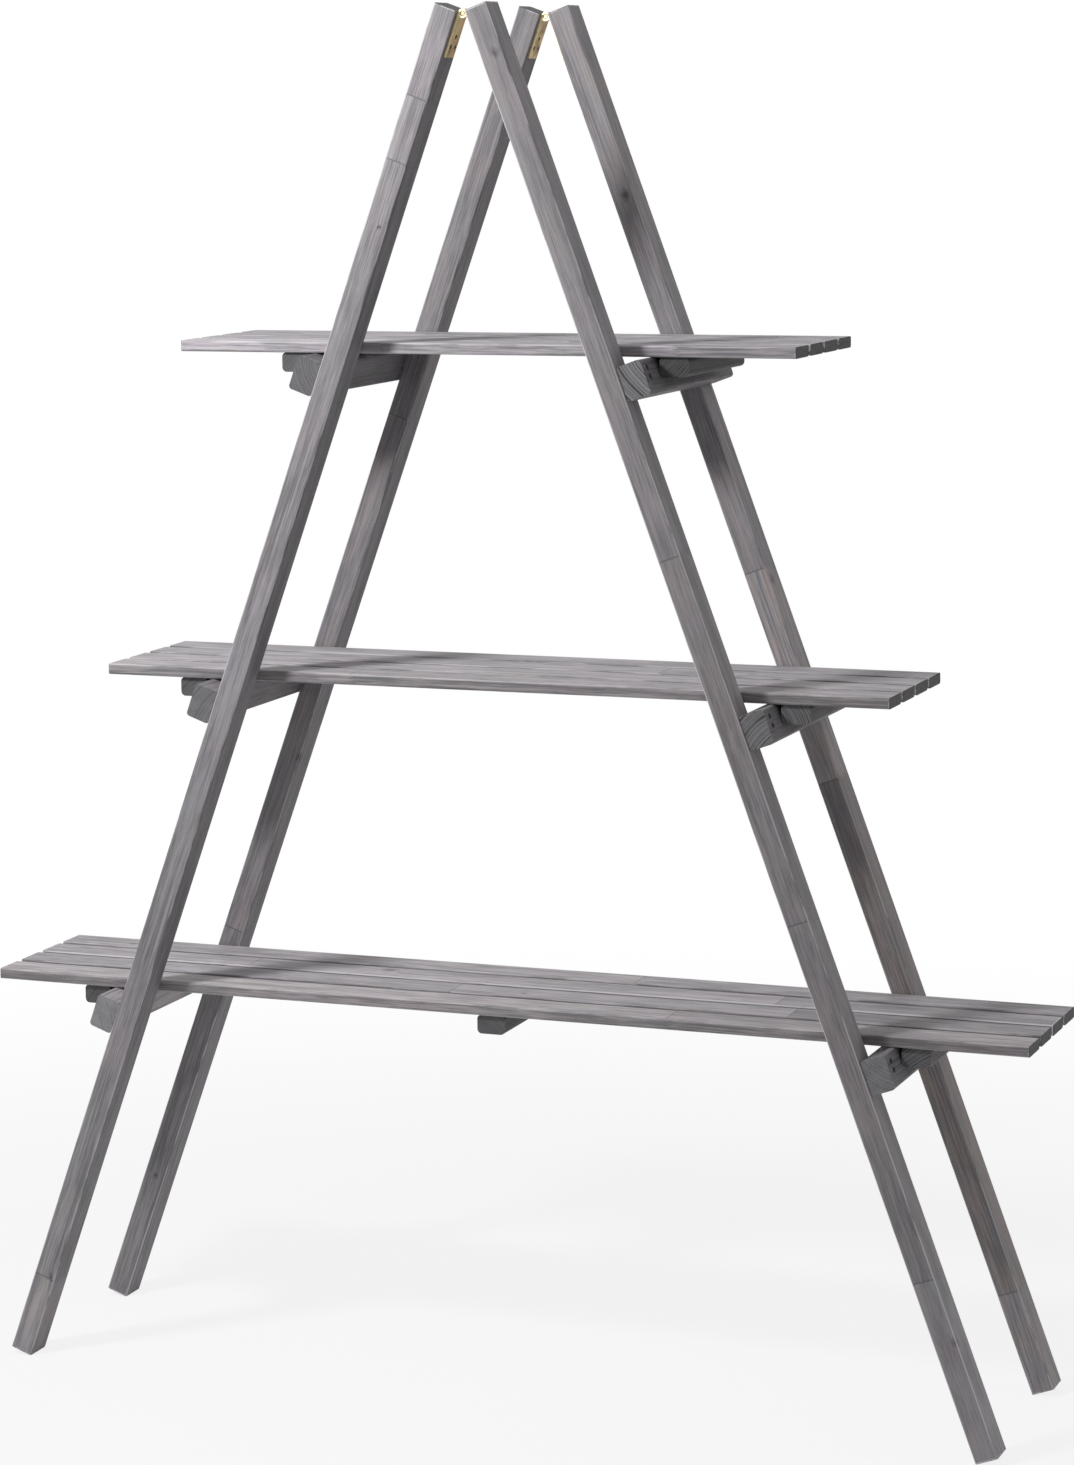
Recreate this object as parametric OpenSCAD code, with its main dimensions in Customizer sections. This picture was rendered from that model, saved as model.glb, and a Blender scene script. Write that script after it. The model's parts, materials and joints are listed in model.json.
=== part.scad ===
// Folding plant ladder stand: two ladders hinged together at the top, and three slatted
// shelves that lie loose on the rungs. A batten under each end of a shelf hooks over the
// rung below it, which stops the ladders from spreading.
// Lengths are in millimetres. X runs along the shelves, Y from front to back and Z up
// from the floor; the origin is on the floor under the middle of the stand.

/* [Ladders] */
// Length of a leg
leg_length = 1600; // [1500:5:1800]
// Width of a leg, from front to back
leg_width = 36; // [30:1:50]
// Thickness of a leg, across its ladder
leg_thickness = 26; // [20:1:36]
// Radius of the eased long edges of a leg
leg_ease = 2.5; // [1:0.5:6]
// Angle between the two ladders when the stand is open
open_angle = 40.3; // [34:0.1:46]

/* [Rungs] */
// Height of a rung, measured along the leg
rung_height = 38; // [32:1:50]
// Thickness of a rung
rung_thickness = 28; // [20:1:36]
// Radius of the eased long edges of a rung
rung_ease = 4; // [1:0.5:6]
// How far the ends of a rung are set back from the outer sides of the legs
rung_inset = 3; // [0:0.5:8]

/* [Shelves] */
// Height of the top shelf's upper face above the floor
top_shelf_height = 1156.5; // [1080:0.5:1200]
// Height of the middle shelf's upper face above the floor
middle_shelf_height = 797.5; // [740:0.5:860]
// Height of the bottom shelf's upper face above the floor
bottom_shelf_height = 441; // [380:0.5:500]
// Length of the top shelf
top_shelf_length = 700; // [600:5:900]
// Length of the middle shelf
middle_shelf_length = 900; // [850:5:1100]
// Length of the bottom shelf
bottom_shelf_length = 1200; // [1150:5:1400]
// Width of a slat
slat_width = 42.5; // [30:0.5:60]
// Thickness of a slat
slat_thickness = 12; // [10:0.5:20]
// Gap between neighbouring slats
slat_gap = 8; // [4:0.5:16]
// Radius of the eased long edges of a slat
slat_ease = 2.5; // [0.5:0.5:4]
// Width of a batten, along the shelf
batten_width = 32; // [24:1:44]
// Height of a batten
batten_height = 21; // [16:0.5:26]
// Radius of the rounded long edges of a batten
batten_round = 5; // [1:0.5:7]
// How far the ends of a batten are set back from the long edges of the shelf
batten_inset = 5; // [0:0.5:12]

/* [Hinges] */
// Width of a hinge, which is the length of its barrel
hinge_width = 22; // [18:0.5:30]
// Length of a hinge leaf, from the pin axis to the far end
leaf_length = 49; // [46:0.5:60]
// Thickness of a hinge leaf and of the barrel's wall
leaf_thickness = 2; // [1.2:0.1:2.5]
// Diameter of the hinge pin
pin_diameter = 5.6; // [3:0.1:7]
// Height of the pin axis above the ends of the legs, along the leg; below them it is negative
pin_rise = -1; // [-3:0.5:5]
// Distance from the pin axis to the upper screw of a leaf
upper_screw_distance = 26.5; // [18:0.5:30]
// Distance from the pin axis to the lower pair of screws of a leaf
lower_screw_distance = 37.5; // [36.5:0.5:41]
// Distance between the two lower screws of a leaf
lower_screw_spacing = 12; // [9:0.5:14]

/* [Screws] */
// Shank diameter of the screws through the rungs
rung_screw_diameter = 4; // [3:0.1:5]
// Head diameter of the screws through the rungs
rung_screw_head = 7; // [5.5:0.1:9]
// How deep the rung screws go into the leg
rung_screw_bite = 17; // [10:1:19]
// How deep the heads of the rung screws are sunk below the rung's face
rung_screw_sink = 1; // [0.5:0.1:2]
// Distance between the two screws that hold a rung to a leg
rung_screw_spacing = 10; // [9:0.5:14]
// Distance from the upper edge of a rung to the upper screw
rung_screw_edge = 10; // [8:0.5:14]
// Shank diameter of the screws through the battens
batten_screw_diameter = 3.5; // [2.5:0.1:4.5]
// Head diameter of the screws through the battens
batten_screw_head = 7; // [5.5:0.1:8]
// How deep the batten screws go into the slat
batten_screw_bite = 8; // [4:0.5:9]
// How deep the heads of the batten screws are sunk below the batten's face
batten_screw_sink = 0.6; // [0.5:0.1:2]
// Shank diameter of the hinge screws
hinge_screw_diameter = 2.8; // [2:0.1:3.5]
// Head diameter of the hinge screws
hinge_screw_head = 5.4; // [4.4:0.1:6]
// How deep the hinge screws go into the leg
hinge_screw_bite = 14; // [8:1:18]

/* [Clearances] */
// Gap on each side between a shelf and the legs that it passes between
shelf_side_gap = 4; // [1:0.5:10]
// Height of the slats above the upper edge of the rung that carries them
rest_gap = 0.3; // [0.3:0.1:1]
// Gap between a batten and the rung that it hooks over
stop_gap = 0.5; // [0.3:0.1:3]
// Gap between the barrel of a hinge and the plane of the leg's inner face
barrel_gap = 0.1; // [0.1:0.1:1]
// Radial clearance of the hinge pin in the barrel
pin_clearance = 0.05; // [0.02:0.01:0.1]
// Gap between the knuckles of a hinge, end to end
knuckle_gap = 0.3; // [0.2:0.1:0.8]
// Radial clearance between a knuckle and the notch in the other leaf
notch_clearance = 0.4; // [0.3:0.1:0.8]
// Clearance all round a screw in its hole
screw_clearance = 0.05; // [0.02:0.01:0.1]

/* [Hidden] */
$fn = 64;

// Sides of the stand: the left ladder is the right one mirrored
left = -1;
right = 1;
// Front and back: signs of Y
front = -1;
back = 1;
// Slats of a shelf, from front to back
slat_count = 4;
front_slat = 0;
second_slat = 1;
third_slat = 2;
back_slat = 3;

wood = [0.52, 0.50, 0.53];
light_wood = [0.63, 0.61, 0.63];
dark_wood = [0.42, 0.41, 0.42];
brass = [0.80, 0.66, 0.34];
steel = [0.35, 0.35, 0.36];

// Shape of the open frame
lean = open_angle / 2;
shelf_depth = slat_count * slat_width + (slat_count - 1) * slat_gap;
stand_depth = shelf_depth + 2 * shelf_side_gap + 2 * leg_width;
leg_y = (stand_depth - leg_width) / 2;
rung_length = stand_depth - 2 * rung_inset;
batten_length = shelf_depth - 2 * batten_inset;

// Barrel of a hinge: the pin axis lies over the middle of the stand
barrel_radius = pin_diameter / 2 + pin_clearance + leaf_thickness;
pin_offset = barrel_radius + barrel_gap;
leg_top_x = pin_offset * cos(lean) + pin_rise * sin(lean);
leg_top_z = leg_length * cos(lean);
pin_z = leg_top_z - pin_offset * sin(lean) + pin_rise * cos(lean);
knuckle_length = (hinge_width - 2 * knuckle_gap) / 3;

// Thickness of a screw head's rim above its cone
head_rim = 0.4;
// A screw ends in a point this long, for a shank of one diameter
point_ratio = 1.5;
// The cross in a screw head: its length, width and depth for a head of one diameter
cross_length_ratio = 0.62;
cross_width_ratio = 0.13;
cross_depth_ratio = 0.22;
// Extra length of a cut, so that it passes through the face
cut_over = 1;

// Height of a rung's upper face along the leg, below the top of the leg (so negative). The
// rung's rounded outer upper edge touches the plane a rest gap under the slats.
function rung_top(shelf_height) =
    let (
        plane_z = shelf_height - slat_thickness - rest_gap,
        round_x = leg_thickness + rung_thickness - rung_ease,
        round_z = (plane_z - rung_ease - leg_top_z - round_x * sin(lean)) / cos(lean)
    )
    round_z + rung_ease;

// X of a batten's inner side. Its rounded inner lower edge stands a stop gap off the
// sloping outer face of the rung.
function batten_inner_x(shelf_height) =
    let (
        round_z = shelf_height - slat_thickness - batten_height + batten_round,
        round_out = leg_thickness + rung_thickness + stop_gap + batten_round,
        round_x = leg_top_x + (round_out - (round_z - leg_top_z) * sin(lean)) / cos(lean)
    )
    round_x - batten_round;

function batten_x(shelf_height) = batten_inner_x(shelf_height) + batten_width / 2;

function slat_y(slat) = (slat - (slat_count - 1) / 2) * (slat_width + slat_gap);

// Rectangle with rounded corners, from [0, 0]
module rounded_rectangle(width, height, radius) {
    translate([radius, 0]) square([width - 2 * radius, height]);
    translate([0, radius]) square([width, height - 2 * radius]);
    for (x = [radius, width - radius], y = [radius, height - radius]) {
        translate([x, y]) circle(radius);
    }
}

// Places its children on a ladder. There X points out from the legs' inner faces, Z up
// along the legs, and the origin is at the legs' upper ends.
module on_ladder(side) {
    mirror([side == left ? 1 : 0, 0, 0])
        translate([leg_top_x, 0, leg_top_z])
            rotate([0, -lean, 0])
                children();
}

// Countersunk screw pointing down, with the top of its head at the origin. A gap above
// zero gives the hole for it, open above the head.
module screw_shape(diameter, length, head, gap) {
    shank = diameter / 2 + gap;
    rim = head / 2 + gap;
    head_bottom = -head_rim - (head - diameter) / 2;
    point_top = -length + diameter * point_ratio;
    top = gap > 0 ? length : 0;
    rotate_extrude() {
        polygon([
            [0, top],
            [rim, top],
            [rim, -head_rim - gap],
            [shank, head_bottom - gap],
            [shank, point_top - gap],
            [0, -length - gap]
        ]);
    }
}

module screw(diameter, length, head) {
    cross_length = head * cross_length_ratio;
    cross_width = head * cross_width_ratio;
    cross_depth = head * cross_depth_ratio;
    difference() {
        screw_shape(diameter, length, head, 0);
        for (turn = [0, 90]) {
            rotate([0, 0, turn])
                translate([-cross_length / 2, -cross_width / 2, -cross_depth])
                    cube([cross_length, cross_width, cross_depth + cut_over]);
        }
    }
}

// Places its children at both screws of a rung on one leg, with Z out of the rung's face
module at_rung_screws(shelf_height, leg_side) {
    for (step = [0, 1]) {
        translate([
            leg_thickness + rung_thickness - rung_screw_sink,
            leg_side * leg_y,
            rung_top(shelf_height) - rung_screw_edge - step * rung_screw_spacing
        ])
            rotate([0, 90, 0])
                children();
    }
}

module rung_screw() {
    screw(rung_screw_diameter, rung_thickness - rung_screw_sink + rung_screw_bite, rung_screw_head);
}

module rung_screw_hole() {
    screw_shape(
        rung_screw_diameter, rung_thickness - rung_screw_sink + rung_screw_bite,
        rung_screw_head, screw_clearance
    );
}

// Places its children at the three screws of a leaf, with Z out of the leaf's open face
module at_leaf_screws(hinge_side) {
    places = [
        [0, upper_screw_distance],
        [-lower_screw_spacing / 2, lower_screw_distance],
        [lower_screw_spacing / 2, lower_screw_distance]
    ];
    for (place = places) {
        translate([-leaf_thickness, hinge_side * leg_y + place[0], pin_rise - place[1]])
            rotate([0, -90, 0])
                children();
    }
}

module hinge_screw() {
    screw(hinge_screw_diameter, leaf_thickness + hinge_screw_bite, hinge_screw_head);
}

module hinge_screw_hole() {
    screw_shape(
        hinge_screw_diameter, leaf_thickness + hinge_screw_bite, hinge_screw_head, screw_clearance
    );
}

module leg(side, leg_side) {
    on_ladder(side) {
        difference() {
            translate([0, leg_side * leg_y - leg_width / 2, -leg_length])
                linear_extrude(leg_length)
                    rounded_rectangle(leg_thickness, leg_width, leg_ease);
            for (height = [top_shelf_height, middle_shelf_height, bottom_shelf_height]) {
                at_rung_screws(height, leg_side) rung_screw_hole();
            }
            at_leaf_screws(leg_side) hinge_screw_hole();
        }
    }
}

module rung(side, shelf_height) {
    on_ladder(side) {
        difference() {
            translate([leg_thickness, rung_length / 2, rung_top(shelf_height) - rung_height])
                rotate([90, 0, 0])
                    linear_extrude(rung_length)
                        rounded_rectangle(rung_thickness, rung_height, rung_ease);
            for (leg_side = [front, back]) {
                at_rung_screws(shelf_height, leg_side) rung_screw_hole();
            }
        }
    }
}

module rung_screws(side) {
    on_ladder(side) {
        for (height = [top_shelf_height, middle_shelf_height, bottom_shelf_height]) {
            for (leg_side = [front, back]) {
                at_rung_screws(height, leg_side) rung_screw();
            }
        }
    }
}

module hinge_screws(side) {
    on_ladder(side) {
        for (hinge_side = [front, back]) {
            at_leaf_screws(hinge_side) hinge_screw();
        }
    }
}

// One length of the barrel, around the pin axis, starting from the hinge's front end
module barrel_length(hinge_side, start, length, radius) {
    translate([-pin_offset, hinge_side * leg_y - hinge_width / 2 + start, pin_rise])
        rotate([-90, 0, 0])
            cylinder(h = length, r = radius);
}

// Hinge leaf: a plate on the leg's inner face with its knuckles. The left leaf has the two
// outer knuckles, and the right leaf the middle one.
module hinge_leaf(side, hinge_side) {
    knuckle_pitch = knuckle_length + knuckle_gap;
    own_knuckles = side == left ? [0, 2] : [1];
    other_knuckles = side == left ? [1] : [0, 2];
    on_ladder(side) {
        difference() {
            union() {
                translate([
                    -leaf_thickness,
                    hinge_side * leg_y - hinge_width / 2,
                    pin_rise - leaf_length
                ])
                    cube([leaf_thickness, hinge_width, leaf_length]);
                for (knuckle = own_knuckles) {
                    barrel_length(
                        hinge_side, knuckle * knuckle_pitch, knuckle_length, barrel_radius
                    );
                }
            }
            for (knuckle = other_knuckles) {
                barrel_length(
                    hinge_side, knuckle * knuckle_pitch - knuckle_gap,
                    knuckle_length + 2 * knuckle_gap, barrel_radius + notch_clearance
                );
            }
            barrel_length(
                hinge_side, -cut_over, hinge_width + 2 * cut_over,
                pin_diameter / 2 + pin_clearance
            );
            at_leaf_screws(hinge_side) hinge_screw_hole();
        }
    }
}

module hinge_pin(hinge_side) {
    translate([0, hinge_side * leg_y - hinge_width / 2, pin_z])
        rotate([-90, 0, 0])
            cylinder(h = hinge_width, r = pin_diameter / 2);
}

// Places its children at a shelf's batten screws over one batten, with Z down
module at_batten_screws(shelf_height, x, slats) {
    for (slat = slats) {
        translate([
            x,
            slat_y(slat),
            shelf_height - slat_thickness - batten_height + batten_screw_sink
        ])
            rotate([180, 0, 0])
                children();
    }
}

module batten_screw() {
    screw(
        batten_screw_diameter, batten_height - batten_screw_sink + batten_screw_bite,
        batten_screw_head
    );
}

module batten_screw_hole() {
    screw_shape(
        batten_screw_diameter, batten_height - batten_screw_sink + batten_screw_bite,
        batten_screw_head, screw_clearance
    );
}

module slat(shelf_height, length, row, batten_places) {
    difference() {
        translate([-length / 2, slat_y(row) - slat_width / 2, shelf_height - slat_thickness])
            rotate([90, 0, 90])
                linear_extrude(length)
                    rounded_rectangle(slat_width, slat_thickness, slat_ease);
        for (x = batten_places) {
            at_batten_screws(shelf_height, x, [row]) batten_screw_hole();
        }
    }
}

module batten(shelf_height, x) {
    difference() {
        translate([
            x - batten_width / 2,
            batten_length / 2,
            shelf_height - slat_thickness - batten_height
        ])
            rotate([90, 0, 0])
                linear_extrude(batten_length)
                    rounded_rectangle(batten_width, batten_height, batten_round);
        at_batten_screws(shelf_height, x, [front_slat : back_slat]) batten_screw_hole();
    }
}

module batten_screws(shelf_height, batten_places) {
    for (x = batten_places) {
        at_batten_screws(shelf_height, x, [front_slat : back_slat]) batten_screw();
    }
}

top_batten_x = batten_x(top_shelf_height);
middle_batten_x = batten_x(middle_shelf_height);
bottom_batten_x = batten_x(bottom_shelf_height);
top_batten_places = [-top_batten_x, top_batten_x];
middle_batten_places = [-middle_batten_x, middle_batten_x];
bottom_batten_places = [-bottom_batten_x, 0, bottom_batten_x];

module top_slat(row) {
    slat(top_shelf_height, top_shelf_length, row, top_batten_places);
}

module middle_slat(row) {
    slat(middle_shelf_height, middle_shelf_length, row, middle_batten_places);
}

module bottom_slat(row) {
    slat(bottom_shelf_height, bottom_shelf_length, row, bottom_batten_places);
}

// Left and right ladders
module left_front_leg() { color(wood) leg(left, front); }
module left_back_leg() { color(wood) leg(left, back); }
module right_front_leg() { color(wood) leg(right, front); }
module right_back_leg() { color(wood) leg(right, back); }
module left_top_rung() { color(wood) rung(left, top_shelf_height); }
module left_middle_rung() { color(wood) rung(left, middle_shelf_height); }
module left_bottom_rung() { color(wood) rung(left, bottom_shelf_height); }
module right_top_rung() { color(wood) rung(right, top_shelf_height); }
module right_middle_rung() { color(wood) rung(right, middle_shelf_height); }
module right_bottom_rung() { color(wood) rung(right, bottom_shelf_height); }
module left_rung_screws() { color(steel) rung_screws(left); }
module right_rung_screws() { color(steel) rung_screws(right); }

// Hinges
module front_hinge_left_leaf() { color(brass) hinge_leaf(left, front); }
module front_hinge_right_leaf() { color(brass) hinge_leaf(right, front); }
module front_hinge_pin() { color(brass) hinge_pin(front); }
module back_hinge_left_leaf() { color(brass) hinge_leaf(left, back); }
module back_hinge_right_leaf() { color(brass) hinge_leaf(right, back); }
module back_hinge_pin() { color(brass) hinge_pin(back); }
module left_hinge_screws() { color(brass) hinge_screws(left); }
module right_hinge_screws() { color(brass) hinge_screws(right); }

// Top shelf
module top_shelf_front_slat() { color(light_wood) top_slat(front_slat); }
module top_shelf_second_slat() { color(light_wood) top_slat(second_slat); }
module top_shelf_third_slat() { color(light_wood) top_slat(third_slat); }
module top_shelf_back_slat() { color(light_wood) top_slat(back_slat); }
module top_shelf_left_batten() { color(dark_wood) batten(top_shelf_height, -top_batten_x); }
module top_shelf_right_batten() { color(dark_wood) batten(top_shelf_height, top_batten_x); }
module top_shelf_screws() { color(steel) batten_screws(top_shelf_height, top_batten_places); }

// Middle shelf
module middle_shelf_front_slat() { color(light_wood) middle_slat(front_slat); }
module middle_shelf_second_slat() { color(light_wood) middle_slat(second_slat); }
module middle_shelf_third_slat() { color(light_wood) middle_slat(third_slat); }
module middle_shelf_back_slat() { color(light_wood) middle_slat(back_slat); }
module middle_shelf_left_batten() { color(dark_wood) batten(middle_shelf_height, -middle_batten_x); }
module middle_shelf_right_batten() { color(dark_wood) batten(middle_shelf_height, middle_batten_x); }
module middle_shelf_screws() {
    color(steel) batten_screws(middle_shelf_height, middle_batten_places);
}

// Bottom shelf
module bottom_shelf_front_slat() { color(light_wood) bottom_slat(front_slat); }
module bottom_shelf_second_slat() { color(light_wood) bottom_slat(second_slat); }
module bottom_shelf_third_slat() { color(light_wood) bottom_slat(third_slat); }
module bottom_shelf_back_slat() { color(light_wood) bottom_slat(back_slat); }
module bottom_shelf_left_batten() { color(dark_wood) batten(bottom_shelf_height, -bottom_batten_x); }
module bottom_shelf_middle_batten() { color(dark_wood) batten(bottom_shelf_height, 0); }
module bottom_shelf_right_batten() { color(dark_wood) batten(bottom_shelf_height, bottom_batten_x); }
module bottom_shelf_screws() {
    color(steel) batten_screws(bottom_shelf_height, bottom_batten_places);
}

left_front_leg();
left_back_leg();
right_front_leg();
right_back_leg();
left_top_rung();
left_middle_rung();
left_bottom_rung();
right_top_rung();
right_middle_rung();
right_bottom_rung();
left_rung_screws();
right_rung_screws();
front_hinge_left_leaf();
front_hinge_right_leaf();
front_hinge_pin();
back_hinge_left_leaf();
back_hinge_right_leaf();
back_hinge_pin();
left_hinge_screws();
right_hinge_screws();
top_shelf_front_slat();
top_shelf_second_slat();
top_shelf_third_slat();
top_shelf_back_slat();
top_shelf_left_batten();
top_shelf_right_batten();
top_shelf_screws();
middle_shelf_front_slat();
middle_shelf_second_slat();
middle_shelf_third_slat();
middle_shelf_back_slat();
middle_shelf_left_batten();
middle_shelf_right_batten();
middle_shelf_screws();
bottom_shelf_front_slat();
bottom_shelf_second_slat();
bottom_shelf_third_slat();
bottom_shelf_back_slat();
bottom_shelf_left_batten();
bottom_shelf_middle_batten();
bottom_shelf_right_batten();
bottom_shelf_screws();
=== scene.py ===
"""The looks of a folding plant ladder stand: grey-stained softwood, brass hinges and a plain studio.

Each board is a merged copy of its CAD solid with its end arrises eased. A vector attribute holds
the board's own coordinates, so that one solid wood grain runs along every board, over its arrises
and into its end grain. Each hinge leaf is a merged copy with rounded edges. Hinge pins and screws keep
their CAD meshes and get metal finishes.
"""

import json
import math
import random

import bmesh
import bpy
from bpy.props import FloatProperty, FloatVectorProperty, IntProperty, PointerProperty
from mathutils import Matrix, Vector


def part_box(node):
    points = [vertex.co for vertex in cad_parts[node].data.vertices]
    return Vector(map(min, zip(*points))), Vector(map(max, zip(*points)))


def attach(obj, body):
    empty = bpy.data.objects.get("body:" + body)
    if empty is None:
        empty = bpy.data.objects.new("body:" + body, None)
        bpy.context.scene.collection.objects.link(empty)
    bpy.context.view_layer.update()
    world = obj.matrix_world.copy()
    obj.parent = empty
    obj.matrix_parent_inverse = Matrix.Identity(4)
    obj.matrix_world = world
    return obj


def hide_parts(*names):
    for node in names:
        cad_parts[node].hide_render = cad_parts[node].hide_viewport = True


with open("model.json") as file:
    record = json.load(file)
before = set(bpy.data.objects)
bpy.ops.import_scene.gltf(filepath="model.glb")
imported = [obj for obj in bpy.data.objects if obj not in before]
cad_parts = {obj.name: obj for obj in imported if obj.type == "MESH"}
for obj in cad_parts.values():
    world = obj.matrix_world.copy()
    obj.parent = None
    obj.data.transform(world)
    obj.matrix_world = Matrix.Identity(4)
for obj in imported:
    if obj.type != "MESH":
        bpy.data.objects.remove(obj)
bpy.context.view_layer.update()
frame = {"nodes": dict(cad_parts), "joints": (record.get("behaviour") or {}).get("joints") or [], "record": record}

bl_info = {
    "name": "Plant ladder stand",
    "version": (1, 0, 0),
    "blender": (4, 5, 0),
    "location": "View3D > Sidebar > Plant Stand",
    "description": "Finishes the boards, hinges and screws of a folding plant ladder stand",
    "category": "Object",
}

RECORD = frame["record"]
BODY_OF = {node: body for body, nodes in RECORD["behaviour"]["bodies"].items() for node in nodes}
FOLD = next(joint for joint in frame["joints"] if joint["name"] == "ladder_fold")
LEAN = math.radians(FOLD["range_deg"][1]) / 2   # of each ladder from upright

MM = 0.001
MERGE_DISTANCE = 0.002 * MM
FLAT_ANGLE = math.radians(0.5)
SHARP_ANGLE = math.radians(42)
END_REACH = 30 * MM      # a board's length coordinate follows a slanting end cut over this length
NOWHERE = 9999.0         # millimetres along a board at which an unused knot or finger joint lies
END_NORMAL = 0.9         # how squarely a board's end faces look along it, at the least
COORDINATES = "board"    # the vector attribute: along, across and through the board, in metres

SHELVES = ("top", "middle", "bottom")
SLATS = ("front", "second", "third", "back")
SIDES = ("left", "right")
BOARDS = {
    "leg": [f"{side}_{place}_leg" for side in SIDES for place in ("front", "back")],
    "rung": [f"{side}_{level}_rung" for side in SIDES for level in SHELVES],
    "slat": [f"{shelf}_shelf_{place}_slat" for shelf in SHELVES for place in SLATS],
    "batten": [node for node in BODY_OF if node.endswith("_batten")],
}

SANDED = ("slat", "batten")     # kinds of board whose ends are sanded round

# How the boards of each kind look. A tone over 1 is paler, contrast says how plainly all grain shows,
# streaks how plainly the stain is streaked, warm is the share of the warmer stain, and the rubbing says
# how much the arrises show pale, partly from real wear and partly as a painted highlight. The narrow
# sides have their own tone, which is painted shading for how the light falls on them, and the ends
# have their own tones, which on the slats also hold painted shade.
KINDS = {
    "leg": dict(
        tone=1.04, contrast=1.35, streaks=0.6, warm=0.4, wear_and_highlight=0.6, painted_side_shading=1.0, end_tone_and_shade=0.4),
    "rung": dict(
        tone=0.80, contrast=1.4, streaks=0.7, warm=0.35, wear_and_highlight=0.45, painted_side_shading=1.0, end_tone_and_shade=1.0),
    # The slats' low side tone is painted shade on their front and back faces below their lit tops, and their low
    # end tone is end grain with painted shade.
    "slat": dict(
        tone=1.56, contrast=1.75, streaks=1.0, warm=0.28, wear_and_highlight=0.45, painted_side_shading=0.48, end_tone_and_shade=0.16),
    # The battens' low tone is painted shade: they lie in the shade under the shelves.
    "batten": dict(
        tone=0.37, contrast=1.4, streaks=0.7, warm=0.35, wear_and_highlight=0.4, painted_side_shading=1.0, end_tone_and_shade=0.54),
}

# What shows on single boards, in millimetres from the board's middle. Finger joints are given as
# (distance along it, change of tone past it) in rising order; on some slats the larger steps down are
# painted shade, darker towards the right end. Knots are given as (along, across, through, radius).
# The pith is the place (across, through) of the rings' centre, and end_rings says how plainly the
# rings show on the ends. The tone and the end tone multiply the kind's, and the others stand in
# place of the kind's.
MARKS = {
    # The legs' side tones are painted shading: the left front leg's sides are darker and the right legs' sides
    # paler, as the light falls on them.
    "left_front_leg": dict(
        joints=((-698, -0.15), (636, 0.09), (706, 0.03)),
        knots=((-700, 7, -18, 3.5), (560, 4, -18, 1.8)),
        tone=1.13, painted_side_shading=0.76, streaks=0.9, warm=0.40, pith=(70, 20)),
    "right_front_leg": dict(
        joints=((-596, -0.06), (-201, 0.03), (200, 0.02)),
        knots=((748, 4, -18, 4.0), (-671, 11, -17, 3.6)),
        tone=0.88, painted_side_shading=1.45, warm=0.25, streaks=0.25, wear_and_highlight=0.75, pith=(-65, 50)),
    "left_back_leg": dict(
        joints=((-310, 0.04), (330, 0.0)), knots=((-91, 13, -18, 4.0), (-640, 2, -18, 3.0)),
        tone=0.88, warm=0.85, streaks=0.8, pith=(55, 35)),
    "right_back_leg": dict(
        joints=((-680, -0.14), (-85, 0.42), (158, -0.28)),
        knots=((586, 3, -18, 4.5), (139, 13, -8, 5.0)),
        tone=1.02, painted_side_shading=1.35, warm=0.9, streaks=0.8, pith=(-60, 25)),
    "right_top_rung": dict(tone=0.88, end_tone_and_shade=1.0, end_rings=1.0, pith=(38, 82)),
    "right_middle_rung": dict(tone=1.03, end_tone_and_shade=0.9, end_rings=0.7, pith=(-82, 38)),
    "right_bottom_rung": dict(tone=0.97, end_rings=0.2, pith=(60, 60)),
    "left_top_rung": dict(tone=0.82, end_tone_and_shade=0.65, end_rings=0.35, pith=(50, 60)),
    "left_middle_rung": dict(tone=1.12, end_tone_and_shade=0.85, end_rings=0.25, pith=(-30, 90)),
    # The left bottom rung's high tone and end tone are painted light, where the key light falls on its top and
    # end.
    "left_bottom_rung": dict(tone=1.95, end_tone_and_shade=1.35, end_rings=0.1, pith=(-70, -90)),
    # On the bottom shelf, the larger steps down towards the slats' right ends are painted shade, the front slat's
    # low side tone is painted shade on its front face, and the third slat's high rubbing is a painted highlight
    # along its arris.
    "bottom_shelf_front_slat": dict(
        joints=((210, -0.22),), knots=((-420, 6, 6, 2.5),), tone=1.15, painted_side_shading=0.66),
    "bottom_shelf_second_slat": dict(
        joints=((-60, -0.05), (330, -0.26)), knots=((14, -4, 6, 3.0),), tone=0.98),
    "bottom_shelf_third_slat": dict(
        joints=((-330, -0.06), (300, -0.24)), knots=((-173, 8, 6, 6.0),), tone=1.10, wear_and_highlight=0.95),
    "bottom_shelf_back_slat": dict(
        joints=((120, -0.04), (345, -0.22)), knots=((-515, -6, 6, 4.0),), tone=1.12),
    # The middle front slat's low side tone is painted shade on its front face.
    "middle_shelf_front_slat": dict(joints=((-150, 0.03),), tone=0.96, painted_side_shading=0.72),
    "middle_shelf_second_slat": dict(tone=1.10),
    "middle_shelf_third_slat": dict(joints=((170, 0.04),), knots=((260, 2, 6, 3.5),), tone=1.03),
    # The top front slat's steps down towards its right end and its low side tone are painted shade.
    "top_shelf_front_slat": dict(joints=((-110, -0.15), (225, -0.2)), tone=1.16, painted_side_shading=0.80),
    "top_shelf_second_slat": dict(joints=((90, -0.04),), tone=0.96),
    "bottom_shelf_right_batten": dict(end_tone_and_shade=1.25, end_rings=0.7),
    "middle_shelf_right_batten": dict(end_tone_and_shade=1.35, end_rings=0.8),
    "top_shelf_right_batten": dict(tone=0.7, end_tone_and_shade=0.6, end_rings=0.6),
}


# ---------------------------------------------------------------------------------------------
# Settings
# ---------------------------------------------------------------------------------------------

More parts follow.
